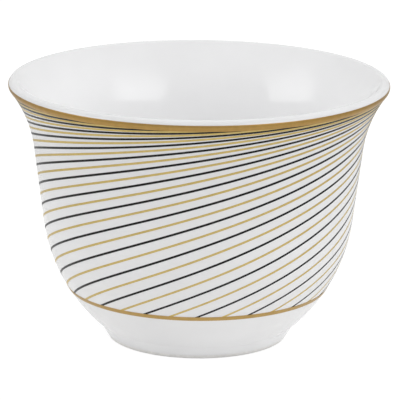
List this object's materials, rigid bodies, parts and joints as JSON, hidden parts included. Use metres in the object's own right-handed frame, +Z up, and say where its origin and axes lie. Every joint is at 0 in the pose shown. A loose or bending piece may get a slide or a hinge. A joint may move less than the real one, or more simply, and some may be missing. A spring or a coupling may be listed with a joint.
{
  "type": "arabic coffee cup",
  "caption": "Handleless porcelain coffee cup with a round belly, flared rim and foot ring, gold bands and fine gold and black stripes that swirl up the wall.",
  "frame": {"origin": "middle of the foot ring, on the surface that the cup stands on", "axes": "+Z up along the axis of the cup; -Y is the front, where a black stripe starts"},
  "size_m": [0.0741, 0.0742, 0.0516],
  "materials": {
    "biscuit_porcelain": "matt, fine-grained, unglazed",
    "clear_glaze": "glossy white",
    "burnished_gold": "satin fired gold",
    "black_enamel": "semi-gloss black, fired on"
  },
  "bodies": {
    "root": {"porcelain_body": "biscuit_porcelain", "glaze_coat": "clear_glaze", "base_glaze": "clear_glaze", "rim_gold_band": "burnished_gold", "foot_gold_line": "burnished_gold", "black_stripe_01": "black_enamel", "black_stripe_02": "black_enamel", "black_stripe_03": "black_enamel", "black_stripe_04": "black_enamel", "black_stripe_05": "black_enamel", "black_stripe_06": "black_enamel", "black_stripe_07": "black_enamel", "black_stripe_08": "black_enamel", "black_stripe_09": "black_enamel", "black_stripe_10": "black_enamel", "black_stripe_11": "black_enamel", "black_stripe_12": "black_enamel", "black_stripe_13": "black_enamel", "black_stripe_14": "black_enamel", "black_stripe_15": "black_enamel", "black_stripe_16": "black_enamel", "gold_stripe_01": "burnished_gold", "gold_stripe_02": "burnished_gold", "gold_stripe_03": "burnished_gold", "gold_stripe_04": "burnished_gold", "gold_stripe_05": "burnished_gold", "gold_stripe_06": "burnished_gold", "gold_stripe_07": "burnished_gold", "gold_stripe_08": "burnished_gold", "gold_stripe_09": "burnished_gold", "gold_stripe_10": "burnished_gold", "gold_stripe_11": "burnished_gold", "gold_stripe_12": "burnished_gold", "gold_stripe_13": "burnished_gold", "gold_stripe_14": "burnished_gold", "gold_stripe_15": "burnished_gold", "gold_stripe_16": "burnished_gold"}
  },
  "joints": []
}
